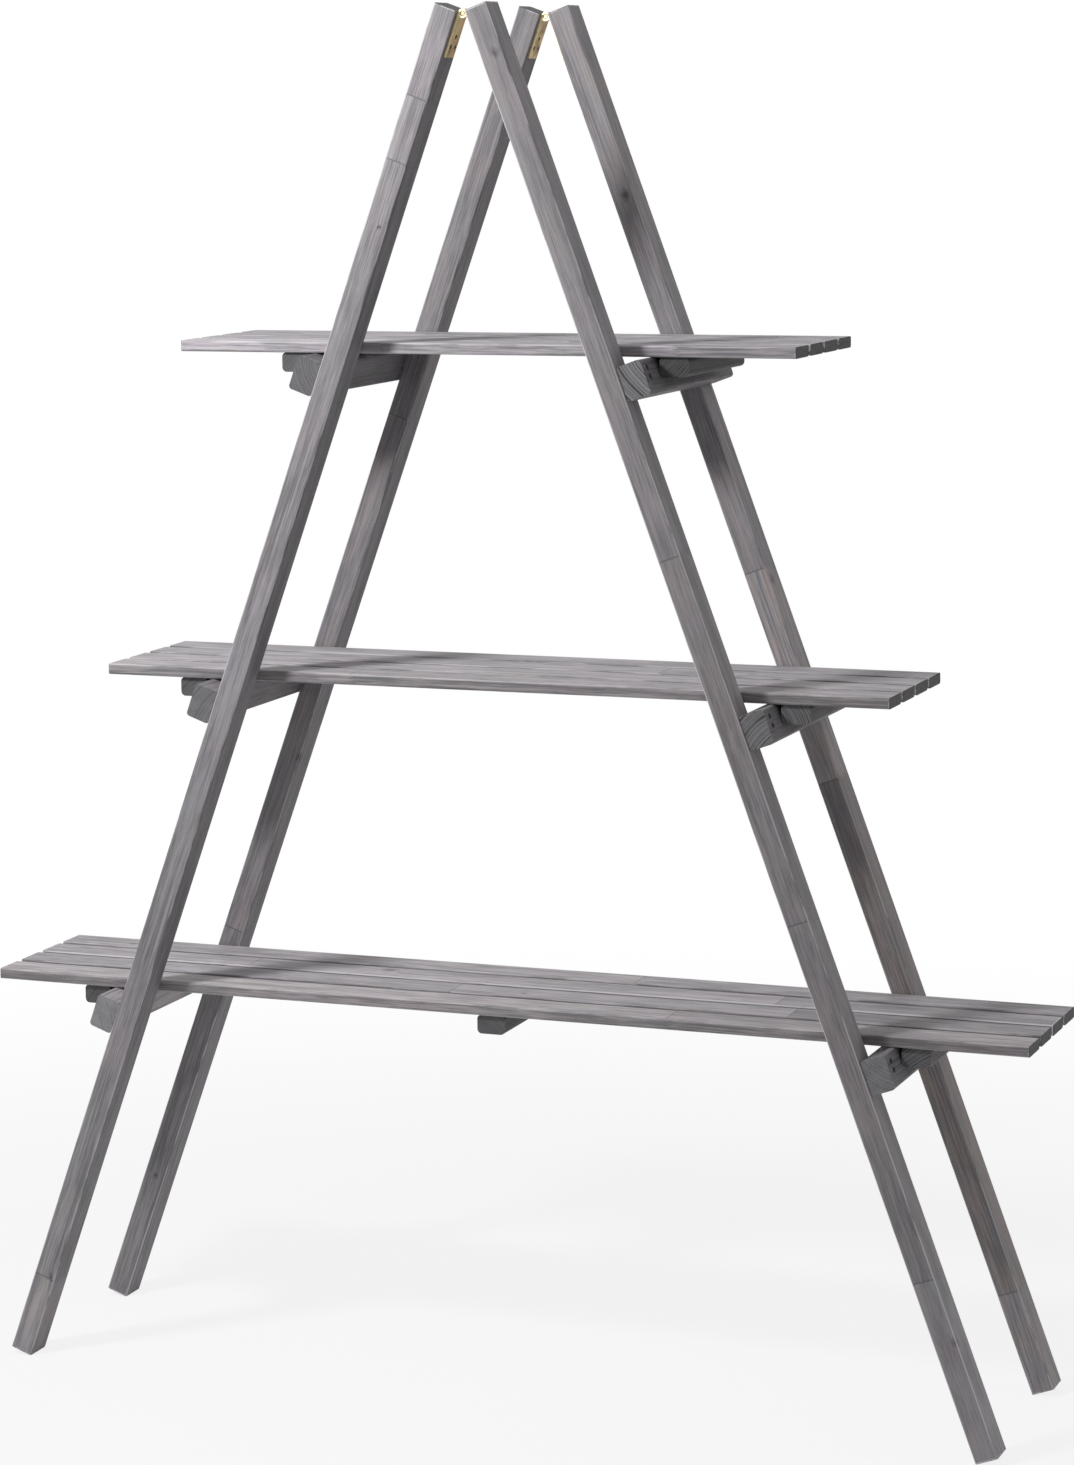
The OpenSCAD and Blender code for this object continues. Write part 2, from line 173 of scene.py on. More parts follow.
class PLANTSTAND_WoodSettings(bpy.types.PropertyGroup):
    """Sizes and colours of the stained wood"""

    pale: FloatVectorProperty(
        name="Pale Stain", description="Colour of the stain on the soft early wood",
        subtype="COLOR", min=0.0, max=1.0, default=(0.360, 0.340, 0.361))
    dark: FloatVectorProperty(
        name="Dark Stain", description="Colour of the stain along the grain lines",
        subtype="COLOR", min=0.0, max=1.0, default=(0.172, 0.166, 0.175))
    warm: FloatVectorProperty(
        name="Warm Stain", description="Colour that the wood below lends to the stain in patches",
        subtype="COLOR", min=0.0, max=1.0, default=(0.290, 0.254, 0.244))
    # The pale arrises are partly real wear and partly a painted highlight.
    worn_and_highlit: FloatVectorProperty(
        name="Worn And Highlit Edge", description="Colour where the stain is rubbed off the arrises",
        subtype="COLOR", min=0.0, max=1.0, default=(0.78, 0.76, 0.79))
    end_pale: FloatVectorProperty(
        name="Pale End Grain", description="Colour of the pale rings on sawn ends",
        subtype="COLOR", min=0.0, max=1.0, default=(0.24, 0.235, 0.245))
    end_dark: FloatVectorProperty(
        name="Dark End Grain", description="Colour of the dark rings on sawn ends",
        subtype="COLOR", min=0.0, max=1.0, default=(0.050, 0.048, 0.050))
    ring_gap: FloatProperty(
        name="Ring Gap", description="Distance between two growth rings",
        subtype="DISTANCE", unit="LENGTH", min=0.5 * MM, max=10 * MM, default=2.6 * MM)
    sawn_ease: FloatProperty(
        name="Sawn Ease", description="Width by which the end arrises of legs and rungs are broken",
        subtype="DISTANCE", unit="LENGTH", min=0.1 * MM, max=1.5 * MM, default=0.7 * MM)
    sanded_ease: FloatProperty(
        name="Sanded Ease", description="Width by which the end arrises of slats and battens are rounded",
        subtype="DISTANCE", unit="LENGTH", min=0.1 * MM, max=1.9 * MM, default=1.7 * MM)
    ease_segments: IntProperty(
        name="Ease Segments", description="Faces across each eased arris", min=1, max=4, default=3)
    # How much of the arrises shows pale, partly real wear and partly a painted highlight.
    wear_and_highlight: FloatProperty(
        name="Wear And Highlight", description="How much of the arrises is rubbed pale",
        subtype="FACTOR", min=0.0, max=1.0, default=1.0)


class PLANTSTAND_MetalSettings(bpy.types.PropertyGroup):
    """Sizes and colours of the hinges and screws"""

    leaf_ease: FloatProperty(
        name="Leaf Ease", description="Width by which the edges of the hinge leaves are rounded",
        subtype="DISTANCE", unit="LENGTH", min=0.02 * MM, max=0.4 * MM, default=0.22 * MM)
    brass: FloatVectorProperty(
        name="Brass", description="Colour of the hinge leaves",
        subtype="COLOR", min=0.0, max=1.0, default=(0.40, 0.285, 0.125))
    tarnish: FloatVectorProperty(
        name="Tarnish", description="Colour of dull places on the brass",
        subtype="COLOR", min=0.0, max=1.0, default=(0.16, 0.092, 0.045))
    # Bright brass is a painted highlight on the hinges' edges, and the bright middles of the pins.
    bright_brass: FloatVectorProperty(
        name="Bright Brass", description="Colour of the cut edges and the middles of the pins",
        subtype="COLOR", min=0.0, max=1.0, default=(0.84, 0.73, 0.42))
    pin_core: FloatProperty(
        name="Pin Core", description="Radius of the bright middle of a pin's end",
        subtype="DISTANCE", unit="LENGTH", min=0.5 * MM, max=2.5 * MM, default=1.9 * MM)
    # The screws' nearly black colours are partly painted shade, standing for the shade in the recesses round their
    # heads.
    screw_brass_and_shade: FloatVectorProperty(
        name="Screw Brass And Shade", description="Colour of the hinge screws",
        subtype="COLOR", min=0.0, max=1.0, default=(0.035, 0.019, 0.012))
    screw_steel: FloatVectorProperty(
        name="Screw Steel And Shade", description="Colour of the screws in the wood",
        subtype="COLOR", min=0.0, max=1.0, default=(0.10, 0.10, 0.105))
    dull_steel: FloatVectorProperty(
        name="Dull Steel", description="Colour of dull places on those screws",
        subtype="COLOR", min=0.0, max=1.0, default=(0.05, 0.05, 0.05))


class PLANTSTAND_StageSettings(bpy.types.PropertyGroup):
    """Floor, light and camera of the studio"""

    floor: FloatVectorProperty(
        name="Floor", description="Colour of the floor where it is seen itself",
        subtype="COLOR", min=0.0, max=1.0, default=(0.85, 0.85, 0.85))
    floor_bounce: FloatVectorProperty(
        name="Floor Bounce", description="Colour of the light that the floor throws back up",
        subtype="COLOR", min=0.0, max=1.0, default=(0.95, 0.95, 0.95))
    far_bounce: FloatVectorProperty(
        name="Far Bounce", description="Colour of the light that the floor throws from further off",
        subtype="COLOR", min=0.0, max=1.0, default=(0.30, 0.30, 0.30))
    floor_radius: FloatProperty(
        name="Floor Radius", description="Radius of the round floor",
        subtype="DISTANCE", unit="LENGTH", min=2.0, max=100.0, default=40.0)
    key_place: FloatVectorProperty(
        name="Key Light", description="Place of the key light, up in front on the left",
        subtype="TRANSLATION", unit="LENGTH", default=(-0.73, -1.07, 1.88))
    key_size: FloatProperty(
        name="Key Size", description="Diameter of the key light",
        subtype="DISTANCE", unit="LENGTH", min=0.02, max=2.0, default=0.25)
    key_power: FloatProperty(
        name="Key Power", description="Power of the key light in watts",
        subtype="POWER", min=0.0, max=500.0, default=20.0)
    room_light: FloatProperty(
        name="Room Light", description="Strength of the even light from all sides",
        min=0.0, max=2.0, default=0.34)
    camera_place: FloatVectorProperty(
        name="Camera", description="Place of the camera",
        subtype="TRANSLATION", unit="LENGTH", default=(1.58740, -3.99144, 1.41409))
    camera_yaw: FloatProperty(
        name="Yaw", description="Turn of the camera to the left of straight back",
        subtype="ANGLE", unit="ROTATION", default=0.373776)
    camera_pitch: FloatProperty(
        name="Pitch", description="Tilt of the camera above level",
        subtype="ANGLE", unit="ROTATION", default=-0.158916)
    camera_roll: FloatProperty(
        name="Roll", description="Roll of the camera about its view",
        subtype="ANGLE", unit="ROTATION", default=-0.012566)
    camera_lens: FloatProperty(
        name="Lens", description="Focal length in millimetres on a 36 mm sensor",
        min=10.0, max=300.0, default=97.612)


SETTINGS = {
    "plantstand_wood": PLANTSTAND_WoodSettings,
    "plantstand_metal": PLANTSTAND_MetalSettings,
    "plantstand_stage": PLANTSTAND_StageSettings,
}


# ---------------------------------------------------------------------------------------------
# Node helper
# ---------------------------------------------------------------------------------------------

class Wiring:
    """Adds nodes to one tree. What feeds an input is a number, a tuple or another node's output."""

    def __init__(self, tree):
        self.tree = tree

    def feed(self, socket, value):
        if isinstance(value, bpy.types.NodeSocket):
            self.tree.links.new(value, socket)
        else:
            socket.default_value = value

    def node(self, kind, inputs=None, **settings):
        made = self.tree.nodes.new(kind)
        for name, value in settings.items():
            setattr(made, name, value)
        for key, value in (inputs or {}).items():
            self.feed(made.inputs[key], value)
        return made

    def math(self, operation, *values, clamp=False):
        made = self.node("ShaderNodeMath", operation=operation, use_clamp=clamp)
        for socket, value in zip(made.inputs, values):
            self.feed(socket, value)
        return made.outputs[0]

    def vector(self, operation, *values):
        made = self.node("ShaderNodeVectorMath", operation=operation)
        for socket, value in zip(made.inputs, values):
            self.feed(socket, value)
        return made.outputs["Value" if operation == "LENGTH" else "Vector"]

    def scaled(self, vector, factor):
        made = self.node("ShaderNodeVectorMath", {0: vector, 3: factor}, operation="SCALE")
        return made.outputs["Vector"]

    def split(self, vector):
        return self.node("ShaderNodeSeparateXYZ", {0: vector}).outputs

    def ramp(self, value, low, high, start=0.0, end=1.0):
        """A smooth step from start at low to end at high."""
        made = self.node("ShaderNodeMapRange", interpolation_type="SMOOTHSTEP")
        for socket, number in zip(made.inputs, (value, low, high, start, end)):
            self.feed(socket, number)
        return made.outputs[0]

    def mix(self, factor, first, second, blend="MIX"):
        made = self.node("ShaderNodeMix", {0: factor, 6: first, 7: second},
                         data_type="RGBA", blend_type=blend)
        return made.outputs[2]

    def noise(self, place, lengths, detail=2.0, roughness=0.5):
        """Noise whose features are about lengths long on each axis, in the units of place."""
        stretched = self.vector("DIVIDE", place, lengths)
        return self.node("ShaderNodeTexNoise", {
            "Vector": stretched, "Scale": 1.0, "Detail": detail, "Roughness": roughness}).outputs

    def pattern(self, place, lengths, detail, roughness, low, high, start=0.0, end=1.0):
        """Noise with more contrast: what lies from low to high is spread from start to end."""
        noise = self.noise(place, lengths, detail, roughness)
        return self.ramp(noise[0], low, high, start, end)

    def wobble(self, place, lengths, detail, amount):
        """A vector of noise about zero, in which each part spans the amount."""
        colour = self.noise(place, lengths, detail)["Color"]
        return self.scaled(self.vector("SUBTRACT", colour, (0.5, 0.5, 0.5)), amount)

    def grey(self, value):
        """One value on all three channels."""
        return self.node("ShaderNodeCombineXYZ", {0: value, 1: value, 2: value}).outputs[0]

    def tinted(self, colour, tint):
        return self.mix(1.0, colour, tint, "MULTIPLY")

    def chain(self, operation, *values):
        result = values[0]
        for value in values[1:]:
            result = self.math(operation, result, value)
        return result

    def product(self, *values):
        return self.chain("MULTIPLY", *values)

    def total(self, *values):
        return self.chain("ADD", *values)

    def centred(self, value, amount):
        """A value from 0 to 1, spread over plus and minus half the amount."""
        return self.math("MULTIPLY", self.math("SUBTRACT", value, 0.5), amount)


def opaque(colour):
    """A colour with full alpha, as colour sockets take it."""
    return (*colour, 1.0)


# ---------------------------------------------------------------------------------------------
# Wood
# ---------------------------------------------------------------------------------------------

WOOD_INPUTS = (
    ("Offset", "Vector"), ("Half Size", "Vector"), ("Pith", "Vector"),
    ("Joint 1", "Float"), ("Change 1", "Float"), ("Joint 2", "Float"), ("Change 2", "Float"),
    ("Joint 3", "Float"), ("Change 3", "Float"),
    ("Knot 1", "Vector"), ("Radius 1", "Float"), ("Knot 2", "Vector"), ("Radius 2", "Float"),
    ("Tone", "Float"), ("Contrast", "Float"), ("Streaks", "Float"), ("Warm", "Float"),
    ("Wear And Highlight", "Float"), ("Ring Gap", "Float"), ("Painted Side Shading", "Float"), ("End Tone And Shade", "Float"),
    ("End Rings", "Float"),
    ("Pale", "Color"), ("Dark", "Color"), ("Warm Stain", "Color"), ("Worn And Highlit", "Color"),
    ("End Pale", "Color"), ("End Dark", "Color"),
)

# Millimetres, unless said otherwise
FINGER_PITCH = 3.8              # between two fingers of a finger joint
FINGER_LENGTH = 9.0
GLUE_LINE = (0.3, 1.1)          # half widths of the dark and of the faded glue line
BLOCK_SHIFT = (731.0, 157.0, 83.0)      # how far off each next block of a board takes its grain
BLOCK_DRAW = 7.31               # the same for a block's warmth

KNOT_SHAPE = (0.7, 1.0, 0.8)    # one over a knot's relative lengths along, across and through
KNOT_SPREAD = -0.35             # how fast the swelling dies down round a knot
KNOT_PUSH = 1.5                 # height of the swelling, in radii
KNOT_CORE = (0.15, 1.10)        # radii between which the dark core fades
KNOT_RIM = 0.45                 # half width of the rim, in radii

# Bends in the grain: lengths along, across and through the board, detail, amount
RING_BEND = ((520, 150, 150), 1, 17.0)
RING_RIPPLE = ((110, 26, 26), 2, 3.0)
KNOT_OUTLINE = ((14, 5, 5), 2, 7.0)
COLOUR_DRIFT = ((85, 17, 17), 2, 0.10)  # the amount is a share of the colour
RING_UNEVENNESS = (0.13, 3.0)   # waves to a millimetre, and how many rings they shift
LATE_WOOD_RISE = (0.25, 0.80)   # shares of a ring over which the late wood darkens
LATE_WOOD_FALL = (0.88, 1.0)

# Patterns in the stain: lengths, detail and roughness, and then the values that are spread out
FIBRES = ((24, 0.7, 0.7), 2, 0.6, 0.32, 0.68)
LINES = ((55, 1.7, 1.7), 2, 0.65, 0.33, 0.67)
STREAKS = ((130, 3.2, 3.2), 2, 0.6, 0.32, 0.68)
STREAKED_PARTS = ((170, 30, 30), 1, 0.5, 0.36, 0.64, 0.25, 1.0)
SPECKS = ((4.5, 1.2, 1.2), 1, 0.5, 0.68, 0.78)
BANDS = ((380, 12, 12), 2)
BLOTCHES = ((52, 14, 14), 3, 0.6)
SCUFFS = ((75, 6, 6), 3, 0.6)

# How far each pattern moves the shade, which goes from 0 for dark to 1 for pale
MIDDLE_SHADE = 0.60
STREAK_SHARE = 0.46
LATE_WOOD_SHARE = -0.26
LINE_SHARE = 0.36
BAND_SHARE = 0.85
BLOTCH_SHARE = 0.85
FIBRE_SHARE = 0.26
SPECK_SHARE = -0.28

# Where the warm stain shows: how far a block's own draw and the bands move the blotches, and the
# values over which it sets in
BLOCK_WARMTH = 0.35
BAND_WARMTH = 0.4
WARM_RANGE = (0.40, 0.72)
WARM_LIGHTNESS = (0.62, 1.18)   # of the warm stain, from dark to pale shade

# How far knots and glue lines darken the stain
RIM_DARKNESS = 0.25
CORE_DARKNESS = 0.80
GLUE_DARKNESS = 0.50

# Arrises and ends
PAINTED_SIDE_BLEND = 0.8                # off an arris, over which the painted shading of the narrow side takes over
WEAR_AND_HIGHLIGHT_WIDTH = (0.8, 2.0)       # off an arris, over which the pale arris, wear and painted highlight, fades
WORN_RANGE = (0.56, 0.66)       # scuffs that count as worn through
WEAR = 0.24                     # how much a full share of pale arrises, wear and painted highlight, adds to the scuffs
SAWN_DEPTH = (0.15, 0.75)       # off an end, over which the end grain fades

# The end grain's shade, which goes from pale to dark over a range
END_SHADE = 0.42
END_FIBRES = 0.30
END_BLOTCHES = 0.5
END_RANGE = (0.2, 1.0)

# Gloss and relief
ROUGHNESS = 0.60
STREAK_ROUGHNESS = 0.10
FIBRE_ROUGHNESS = 0.08
FIBRE_RELIEF = 0.30
GRAIN_RELIEF = 0.35             # of streaks and late wood
GLUE_RELIEF = -0.5
BUMP_STRENGTH = 0.35
BUMP_HEIGHT = 0.25 * MM
SPECULAR = 0.28

# What is drawn at random for a board that has no mark for it
GRAIN_PLACES = (0, 5000)
PITH_ACROSS = (25, 70)
PITH_THROUGH = (35, 80)
TONE_SPREAD = (0.93, 1.07)
WARM_SPREAD = (0.6, 1.2)
USUAL_END_RINGS = 0.35


def finger_joints(w, mm, given):
    """Which block of the glued-up board a point lies in, the block's tone, and the glue lines. On some
    slats the steps in tone are painted shade, darker towards the right end.
    """
    along, _, through = w.split(mm)[:3]
    fingers = w.math("PINGPONG", through, FINGER_PITCH / 2)
    place = w.math("ADD", along, w.math("MULTIPLY", fingers, 2 * FINGER_LENGTH / FINGER_PITCH))
    block, tone, line = 0.0, given["Tone"], 0.0
    for number in (1, 2, 3):
        joint = given[f"Joint {number}"]
        past = w.math("GREATER_THAN", place, joint)
        block = w.math("ADD", block, past)
        tone = w.math("ADD", tone, w.math("MULTIPLY", past, given[f"Change {number}"]))
        gap = w.math("ABSOLUTE", w.math("SUBTRACT", place, joint))
        line = w.math("MAXIMUM", line, w.ramp(gap, *GLUE_LINE, 1.0, 0.0))
    return block, tone, line


def knots(w, mm, given, wobble):
    """The swelling of the rings round the knots, and masks of their rims and cores."""
    swelling, rims, cores = 0.0, 0.0, 0.0
    for number in (1, 2):
        radius = given[f"Radius {number}"]
        apart = w.vector("SUBTRACT", mm, given[f"Knot {number}"])
        apart = w.vector("MULTIPLY", w.vector("ADD", apart, wobble), KNOT_SHAPE)
        ratio = w.math("DIVIDE", w.vector("LENGTH", apart), radius)
        hump = w.math("EXPONENT", w.product(ratio, ratio, KNOT_SPREAD))
        swelling = w.math("ADD", swelling, w.product(hump, radius, KNOT_PUSH))
        cores = w.math("MAXIMUM", cores, w.ramp(ratio, *KNOT_CORE, 1.0, 0.0))
        edge = w.math("ABSOLUTE", w.math("SUBTRACT", ratio, 1.0))
        rims = w.math("MAXIMUM", rims, w.ramp(edge, 0.0, KNOT_RIM, 1.0, 0.0))
    return swelling, rims, cores


def late_wood(w, mm, given, seat, swelling):
    """The dark part of each growth ring. The rings lie about a pith beside the board, wander along
    it and part round the knots."""
    wander = w.vector("ADD", w.wobble(seat, *RING_BEND), w.wobble(seat, *RING_RIPPLE))
    arm = w.vector("ADD", w.vector("SUBTRACT", mm, given["Pith"]), wander)
    arm = w.vector("MULTIPLY", arm, (0.0, 1.0, 1.0))
    reach = w.math("ADD", w.vector("LENGTH", arm), swelling)
    waves, rings = RING_UNEVENNESS
    uneven = w.node("ShaderNodeTexNoise", {
        "W": w.math("MULTIPLY", reach, waves), "Scale": 1.0, "Detail": 1.0},
        noise_dimensions="1D").outputs[0]
    phase = w.total(w.math("DIVIDE", reach, given["Ring Gap"]), w.math("MULTIPLY", uneven, rings))
    turn = w.math("FRACT", phase)
    return w.math("MULTIPLY", w.ramp(turn, *LATE_WOOD_RISE), w.ramp(turn, *LATE_WOOD_FALL, 1.0, 0.0))


def arris_distance(w, mm, half_size):
    """Millimetres to the nearest arris, which is the second least of the distances to the faces,
    to the nearer end, and how much nearer a side is than a broad face."""
    end, side, broad = w.split(w.vector("SUBTRACT", half_size, w.vector("ABSOLUTE", mm)))[:3]
    lower = w.math("MINIMUM", side, broad)
    upper = w.math("MAXIMUM", side, broad)
    nearest = w.math("MAXIMUM", lower, w.math("MINIMUM", upper, end))
    return nearest, end, w.math("SUBTRACT", broad, side)


def stained_softwood():
    """The node group that every board's finish uses: colour, roughness and relief of its wood."""
    group = bpy.data.node_groups.new("stained_softwood", "ShaderNodeTree")
    for name, kind in WOOD_INPUTS:
        group.interface.new_socket(name, in_out="INPUT", socket_type=f"NodeSocket{kind}")
    for name, kind in (("Color", "Color"), ("Roughness", "Float"), ("Relief", "Float")):
        group.interface.new_socket(name, in_out="OUTPUT", socket_type=f"NodeSocket{kind}")
    w = Wiring(group)
    given = w.node("NodeGroupInput").outputs

    coordinates = w.node("ShaderNodeAttribute", attribute_name=COORDINATES).outputs["Vector"]
    mm = w.scaled(coordinates, 1 / MM)
    block, tone, glue_line = finger_joints(w, mm, given)
    shift = w.vector("MULTIPLY", w.grey(block), BLOCK_SHIFT)
    seat = w.vector("ADD", w.vector("ADD", mm, given["Offset"]), shift)
    draw = w.node("ShaderNodeTexWhiteNoise", {
        "W": w.math("ADD", w.math("MULTIPLY", block, BLOCK_DRAW), w.split(given["Offset"])[0])},
        noise_dimensions="1D").outputs["Value"]
    swelling, rims, cores = knots(w, mm, given, w.wobble(seat, *KNOT_OUTLINE))
    late = late_wood(w, mm, given, seat, swelling)

    # Stain that took unevenly
    fibres = w.pattern(seat, *FIBRES)
    lines = w.pattern(seat, *LINES)
    streaks = w.pattern(seat, *STREAKS)
    specks = w.pattern(seat, *SPECKS)
    bands = w.noise(seat, *BANDS)[0]
    blotches = w.noise(seat, *BLOTCHES)[0]
    striped = w.product(w.pattern(seat, *STREAKED_PARTS), given["Streaks"])
    uneven_stain = w.total(
        w.product(w.centred(streaks, STREAK_SHARE), striped),
        w.product(late, striped, LATE_WOOD_SHARE),
        w.centred(lines, LINE_SHARE), w.centred(bands, BAND_SHARE),
        w.centred(blotches, BLOTCH_SHARE), w.centred(fibres, FIBRE_SHARE),
        w.math("MULTIPLY", specks, SPECK_SHARE))
    shade = w.math("MULTIPLY_ADD", uneven_stain, given["Contrast"], MIDDLE_SHADE, clamp=True)
    stain = w.mix(shade, given["Dark"], given["Pale"])
    warmth = w.ramp(w.total(blotches, w.centred(draw, BLOCK_WARMTH), w.centred(bands, BAND_WARMTH)),
                    *WARM_RANGE)
    warm_stain = w.tinted(given["Warm Stain"], w.grey(w.ramp(shade, 0.0, 1.0, *WARM_LIGHTNESS)))
    stain = w.mix(w.math("MULTIPLY", warmth, given["Warm"]), stain, warm_stain)
    drift = w.vector("ADD", w.wobble(seat, *COLOUR_DRIFT), (1.0, 1.0, 1.0))
    stain = w.tinted(stain, drift)

    # Knots, glue lines, the tone of the block, and painted shading on the narrow sides
    for mask, darkness in ((rims, RIM_DARKNESS), (cores, CORE_DARKNESS), (glue_line, GLUE_DARKNESS)):
        stain = w.mix(w.math("MULTIPLY", mask, darkness), stain, given["End Dark"])
    arris, end, sideways = arris_distance(w, mm, given["Half Size"])
    # Painted shading: the side tone makes the narrow sides darker or paler, standing in for how the light falls on
    # them
    side = w.ramp(sideways, -PAINTED_SIDE_BLEND, PAINTED_SIDE_BLEND, 1.0, given["Painted Side Shading"])
    stain = w.tinted(stain, w.grey(w.math("MULTIPLY", tone, side)))

    # Arrises rubbed pale, partly by real wear and partly as a painted highlight, and sawn ends
    scuffs = w.noise(seat, *SCUFFS)[0]
    worn = w.ramp(w.math("MULTIPLY_ADD", given["Wear And Highlight"], WEAR, scuffs), *WORN_RANGE)
    worn_and_highlit = w.product(w.ramp(arris, *WEAR_AND_HIGHLIGHT_WIDTH, 1.0, 0.0), worn, given["Wear And Highlight"])
    stain = w.mix(worn_and_highlit, stain, given["Worn And Highlit"])
    end_shade = w.total(w.product(w.centred(late, 1.0), given["End Rings"]),
                        w.centred(fibres, END_FIBRES), w.centred(blotches, END_BLOTCHES), END_SHADE)
    end_grain = w.mix(w.ramp(end_shade, *END_RANGE), given["End Pale"], given["End Dark"])
    # The end tone is the ends' own darkness, and on the slats also painted shade.
    end_grain = w.tinted(end_grain, w.grey(given["End Tone And Shade"]))
    colour = w.mix(w.ramp(end, *SAWN_DEPTH, 1.0, 0.0), stain, end_grain)

    roughness = w.total(
        ROUGHNESS, w.centred(streaks, STREAK_ROUGHNESS), w.centred(fibres, FIBRE_ROUGHNESS))
    relief = w.total(
        w.math("MULTIPLY", fibres, FIBRE_RELIEF), w.math("MULTIPLY", streaks, GRAIN_RELIEF),
        w.math("MULTIPLY", late, GRAIN_RELIEF), w.math("MULTIPLY", glue_line, GLUE_RELIEF))
    w.node("NodeGroupOutput", {"Color": colour, "Roughness": roughness, "Relief": relief})
    return group


def wood_finish(node, kind, half_size):
    """A board's own wood: the shared grain, cut from another place and with its own marks."""
    wood = bpy.context.scene.plantstand_wood
    usual = KINDS[kind]
    marks = MARKS.get(node, {})
    draw = random.Random(node)
    material = bpy.data.materials.new(f"{node}_wood")
    material.use_nodes = True
    w = Wiring(material.node_tree)
    shader = material.node_tree.nodes["Principled BSDF"]
    group = bpy.data.node_groups.get("stained_softwood") or stained_softwood()
    grain = w.node("ShaderNodeGroup", node_tree=group)

    pith = [draw.choice((-1, 1)) * draw.uniform(*span) for span in (PITH_ACROSS, PITH_THROUGH)]
    values = {
        "Offset": [draw.uniform(*GRAIN_PLACES) for _ in range(3)],
        "Half Size": [length / MM for length in half_size],
        "Pith": (0.0, *marks.get("pith", pith)),
        "Tone": usual["tone"] * marks.get("tone", draw.uniform(*TONE_SPREAD)),
        "Contrast": usual["contrast"],
        "Streaks": marks.get("streaks", usual["streaks"]),
        "Warm": marks.get("warm", usual["warm"] * draw.uniform(*WARM_SPREAD)),
        # The rubbing is partly real wear and partly painted highlight, the side tone is painted shading, and the
        # slats' end tone also holds painted shade.
        "Wear And Highlight": wood.wear_and_highlight * marks.get("wear_and_highlight", usual["wear_and_highlight"]),
        "Painted Side Shading": marks.get("painted_side_shading", usual["painted_side_shading"]),
        "End Tone And Shade": usual["end_tone_and_shade"] * marks.get("end_tone_and_shade", 1.0),
        "End Rings": marks.get("end_rings", USUAL_END_RINGS),
        "Ring Gap": wood.ring_gap / MM,
        "Pale": opaque(wood.pale), "Dark": opaque(wood.dark), "Warm Stain": opaque(wood.warm),
        "Worn And Highlit": opaque(wood.worn_and_highlit),
        "End Pale": opaque(wood.end_pale), "End Dark": opaque(wood.end_dark),
    }
    joints = [*marks.get("joints", ()), *3 * [(NOWHERE, 0.0)]]
    for number in (1, 2, 3):
        values[f"Joint {number}"], values[f"Change {number}"] = joints[number - 1]
    places = [*marks.get("knots", ()), *2 * [(NOWHERE, 0.0, 0.0, 1.0)]]
    for number in (1, 2):
        values[f"Knot {number}"] = places[number - 1][:3]
        values[f"Radius {number}"] = places[number - 1][3]
    for name, value in values.items():
        w.feed(grain.inputs[name], value)

    w.feed(shader.inputs["Base Color"], grain.outputs["Color"])
    w.feed(shader.inputs["Roughness"], grain.outputs["Roughness"])
    bump = w.node("ShaderNodeBump", {
        "Strength": BUMP_STRENGTH, "Distance": BUMP_HEIGHT, "Height": grain.outputs["Relief"]})
    w.feed(shader.inputs["Normal"], bump.outputs[0])
    shader.inputs["Specular IOR Level"].default_value = SPECULAR
    return material


def board_axes(node, kind):
    """The directions along, across and through a board, as a right-handed set."""
    if kind == "slat":
        return Vector((1, 0, 0)), Vector((0, 1, 0)), Vector((0, 0, 1))
    if kind == "batten":
        return Vector((0, 1, 0)), Vector((0, 0, 1)), Vector((1, 0, 0))
    side = -1 if node.startswith("left") else 1
    up = Vector((-side * math.sin(LEAN), 0, math.cos(LEAN)))
    out = Vector((math.cos(LEAN), 0, side * math.sin(LEAN)))
    if kind == "leg":
        return up, out, Vector((0, 1, 0))
    return Vector((0, 1, 0)), up, out


def ease_ends(bm, width, segments):
    """Breaks the arrises round the sawn ends, which look along the board's first axis."""
    ends = {face for face in bm.faces if abs(face.normal.x) > END_NORMAL}
    arrises = [edge for edge in bm.edges if sum(face in ends for face in edge.link_faces) == 1]
    bmesh.ops.bevel(bm, geom=arrises, offset=width, offset_type="OFFSET", segments=segments,
                    profile=0.5, affect="EDGES", material=-1, clamp_overlap=True)


def write_coordinates(bm, half_length):
    """Stores each vertex's place in the board's own frame. Near an end, the length coordinate is
    measured from that end's cut, so that a slanting cut still lies at half the length."""
    layer = bm.verts.layers.float_vector.new(COORDINATES)
    cuts = {}
    for side in (-1, 1):
        ends = [face for face in bm.faces if face.normal.x * side > END_NORMAL]
        cuts[side] = max(ends, key=lambda face: face.calc_area())
    for vert in bm.verts:
        place = vert.co.copy()
        side = 1 if place.x > 0 else -1
        if half_length - abs(place.x) < END_REACH:
            cut = cuts[side]
            beyond = cut.normal.dot(vert.co - cut.verts[0].co) / cut.normal.x
            place.x = side * half_length + beyond
        vert[layer] = place


